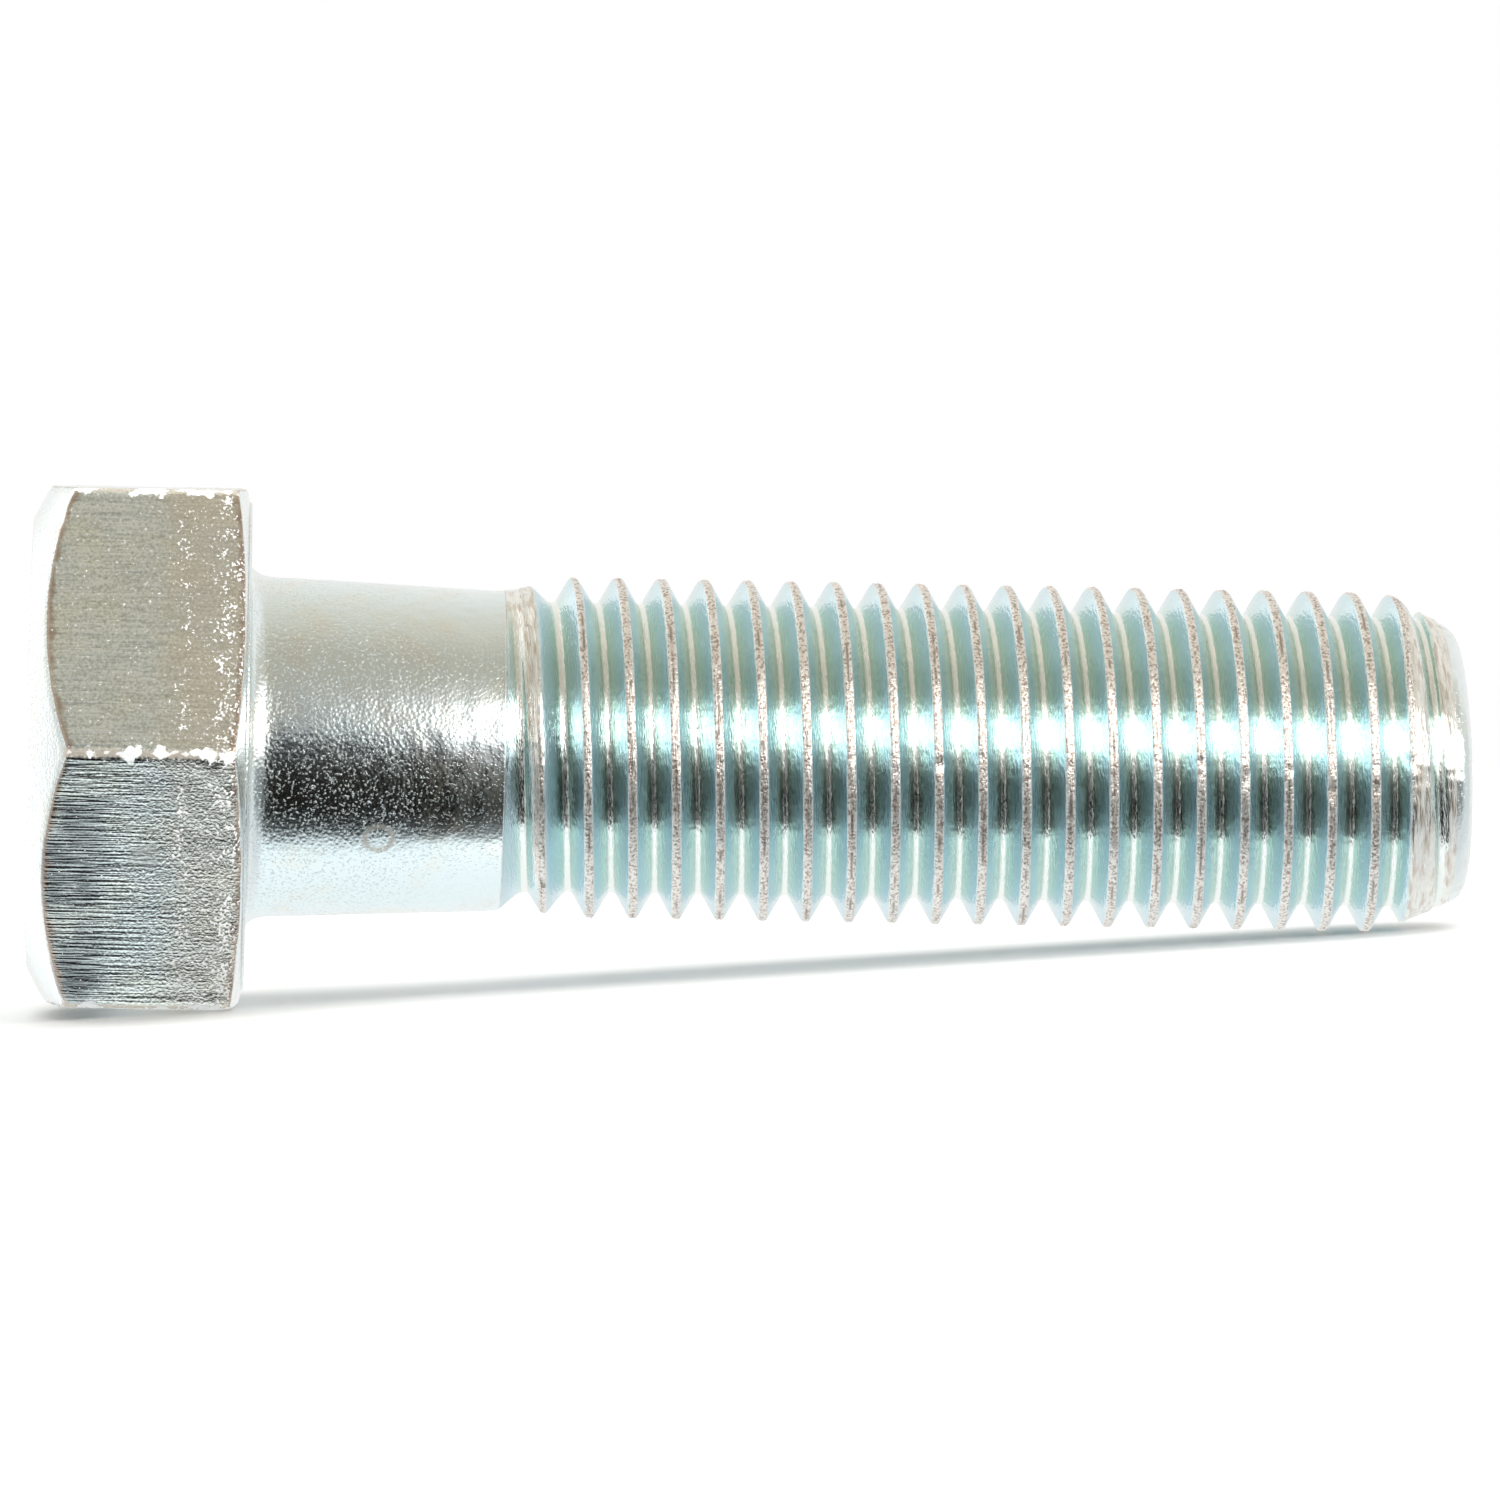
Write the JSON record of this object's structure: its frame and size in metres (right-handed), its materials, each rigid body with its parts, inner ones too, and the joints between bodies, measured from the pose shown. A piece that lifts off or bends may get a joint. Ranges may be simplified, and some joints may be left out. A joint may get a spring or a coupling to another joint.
{
  "type": "hex bolt",
  "caption": "Hex head bolt with a washer face, a plain tapered shank and a coarse right-hand thread, bright zinc plated.",
  "frame": {"origin": "centre of the bearing face under the head, on the bolt's axis", "axes": "+X along the bolt from head to point, +Z out of one flat of the head, so the flats face +Z and -Z and a corner faces -Y"},
  "size_m": [0.0825, 0.0342, 0.0296],
  "materials": {
    "zinc_plated_steel": "bright zinc plating with a clear blue passivation, matt where the flats were sheared"
  },
  "bodies": {
    "root": {"hex_bolt": "zinc_plated_steel"}
  },
  "joints": []
}
